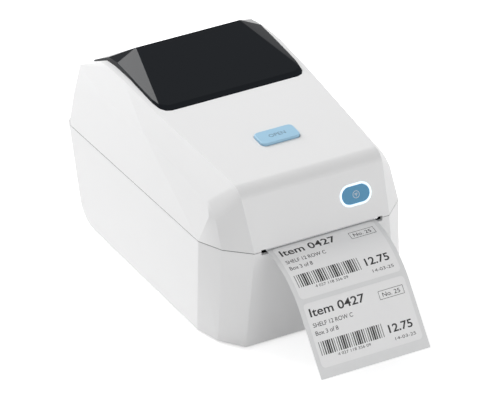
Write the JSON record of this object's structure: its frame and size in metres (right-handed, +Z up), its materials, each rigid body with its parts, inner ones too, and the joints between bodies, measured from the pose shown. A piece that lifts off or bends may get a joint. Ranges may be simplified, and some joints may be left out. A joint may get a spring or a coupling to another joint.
{
  "type": "thermal label printer",
  "caption": "Compact desktop label printer with a hinged lid, smoked window, lit feed button, internal label roll and a curved web of labels leaving the front slot.",
  "frame": {"origin": "under the middle of the whole part, on the surface it stands on", "axes": "+X to the right seen from the front, +Y from the front to the rear, +Z up"},
  "size_m": [0.138, 0.272, 0.1238],
  "materials": {
    "shell_white": "fine satin texture",
    "window_black": "polished, smoked",
    "button_blue": "satin",
    "feed_blue": "satin",
    "ring_light": "frosted, lit",
    "bay_gray": "fine texture",
    "liner_gray": "fine texture",
    "black_plastic": "moulded",
    "gear_white": "moulded acetal",
    "bush_tan": "moulded acetal",
    "steel": "zinc plated",
    "tear_steel": "satin",
    "polished_steel": "ground",
    "spring_steel": "bright wire",
    "heat_sink": "extruded",
    "head_ceramic": "glazed strip",
    "pinion_brass": "machined",
    "rubber_black": "matt",
    "foot_rubber": "matt",
    "board_green": "solder mask",
    "chip_black": "moulded",
    "liner_paper": "glassine",
    "label_paper": "coated",
    "roll_paper": "wound edge",
    "core_card": "spiral wound"
  },
  "bodies": {
    "base": {"base_shell": "shell_white", "rubber_feet": "foot_rubber", "media_bay": "bay_gray", "bay_screws": "steel", "hinge_pins": "polished_steel", "print_frame": "steel", "frame_screws": "steel", "platen_bushes": "bush_tan", "catch_pins": "polished_steel", "guide_bar": "polished_steel", "paper_deck": "bay_gray", "gap_sensor": "black_plastic", "stepper_motor": "steel", "idler_stud": "polished_steel", "main_board": "board_green", "board_parts": "chip_black", "board_screws": "steel", "port_board": "board_green", "power_jack": "black_plastic", "usb_port": "steel", "label_web": "liner_paper", "web_labels": "label_paper"},
    "lid": {"lid_shell": "shell_white", "window_cover": "window_black", "lid_liner": "liner_gray", "lid_screws": "steel", "tear_bar": "tear_steel", "light_ring": "ring_light", "button_board": "board_green", "head_bracket": "steel", "latch_spring": "spring_steel", "head_springs": "spring_steel"},
    "open_button": {"open_button": "button_blue"},
    "latch": {"latch_shaft": "polished_steel", "latch_arm": "black_plastic", "latch_hooks": "steel"},
    "feed_button": {"feed_button": "feed_blue"},
    "print_head": {"print_head": "head_ceramic", "head_sink": "heat_sink", "head_screws": "steel"},
    "platen": {"platen_shaft": "polished_steel", "platen_rubber": "rubber_black", "platen_gear": "gear_white"},
    "idler": {"idler_gear": "gear_white"},
    "motor_rotor": {"motor_shaft": "polished_steel", "motor_pinion": "pinion_brass"},
    "label_roll": {"label_roll": "roll_paper", "roll_core": "core_card"},
    "holder_left": {"holder_left": "bay_gray"},
    "holder_right": {"holder_right": "bay_gray"},
    "holder_pinion": {"holder_pinion": "gear_white"}
  },
  "joints": [
    {"name": "lid_hinge", "type": "hinge", "parent": "base", "child": "lid", "pos_m": [0, 0.13236, 0.06266], "axis": [-1, 0, 0], "range_deg": [0, 85]},
    {"name": "open_press", "type": "slide", "parent": "lid", "child": "open_button", "axis": [0, 0.083, -0.9966], "range_m": [0, 0.0025], "stiffness_N_per_m": 600, "springref_m": -0.002},
    {"name": "latch_turn", "type": "hinge", "parent": "lid", "child": "latch", "pos_m": [0, -0.03705, 0.084], "axis": [-1, 0, 0], "range_deg": [0, 6]},
    {"name": "feed_press", "type": "slide", "parent": "lid", "child": "feed_button", "axis": [0, 0.9328, -0.3605], "range_m": [0, 0.0008], "stiffness_N_per_m": 500, "springref_m": -0.0015},
    {"name": "head_float", "type": "slide", "parent": "lid", "child": "print_head", "axis": [0, -0.1045, 0.9945], "range_m": [0, 0.001], "stiffness_N_per_m": 1500, "springref_m": -0.004, "deforming": ["head_springs"]},
    {"name": "roll_spin", "type": "hinge", "parent": "base", "child": "label_roll", "pos_m": [0, 0.06196, 0.06], "axis": [1, 0, 0], "continuous": true},
    {"name": "platen_spin", "type": "hinge", "parent": "base", "child": "platen", "pos_m": [0, -0.05405, 0.0602], "axis": [1, 0, 0], "continuous": true},
    {"name": "idler_spin", "type": "hinge", "parent": "base", "child": "idler", "pos_m": [0, -0.04222, 0.0461], "axis": [1, 0, 0], "continuous": true},
    {"name": "motor_spin", "type": "hinge", "parent": "base", "child": "motor_rotor", "pos_m": [0, -0.02489, 0.04305], "axis": [1, 0, 0], "continuous": true},
    {"name": "holder_left_slide", "type": "slide", "parent": "base", "child": "holder_left", "axis": [-1, 0, 0], "range_m": [0, 0.01]},
    {"name": "holder_right_slide", "type": "slide", "parent": "base", "child": "holder_right", "axis": [1, 0, 0], "range_m": [0, 0.01]},
    {"name": "holder_pinion_turn", "type": "hinge", "parent": "base", "child": "holder_pinion", "pos_m": [0, 0.06196, 0.0066], "axis": [0, 0, -1], "range_deg": [0, 92]}
  ],
  "couplings": [
    {"joint": "latch_turn", "follows": "open_press", "rad_per_m": 41.322},
    {"joint": "platen_spin", "follows": "roll_spin", "ratio": 6.6667},
    {"joint": "idler_spin", "follows": "roll_spin", "ratio": -2.9167},
    {"joint": "motor_spin", "follows": "roll_spin", "ratio": 7.7778},
    {"joint": "holder_right_slide", "follows": "holder_left_slide", "ratio": 1},
    {"joint": "holder_pinion_turn", "follows": "holder_left_slide", "rad_per_m": 158.73}
  ]
}
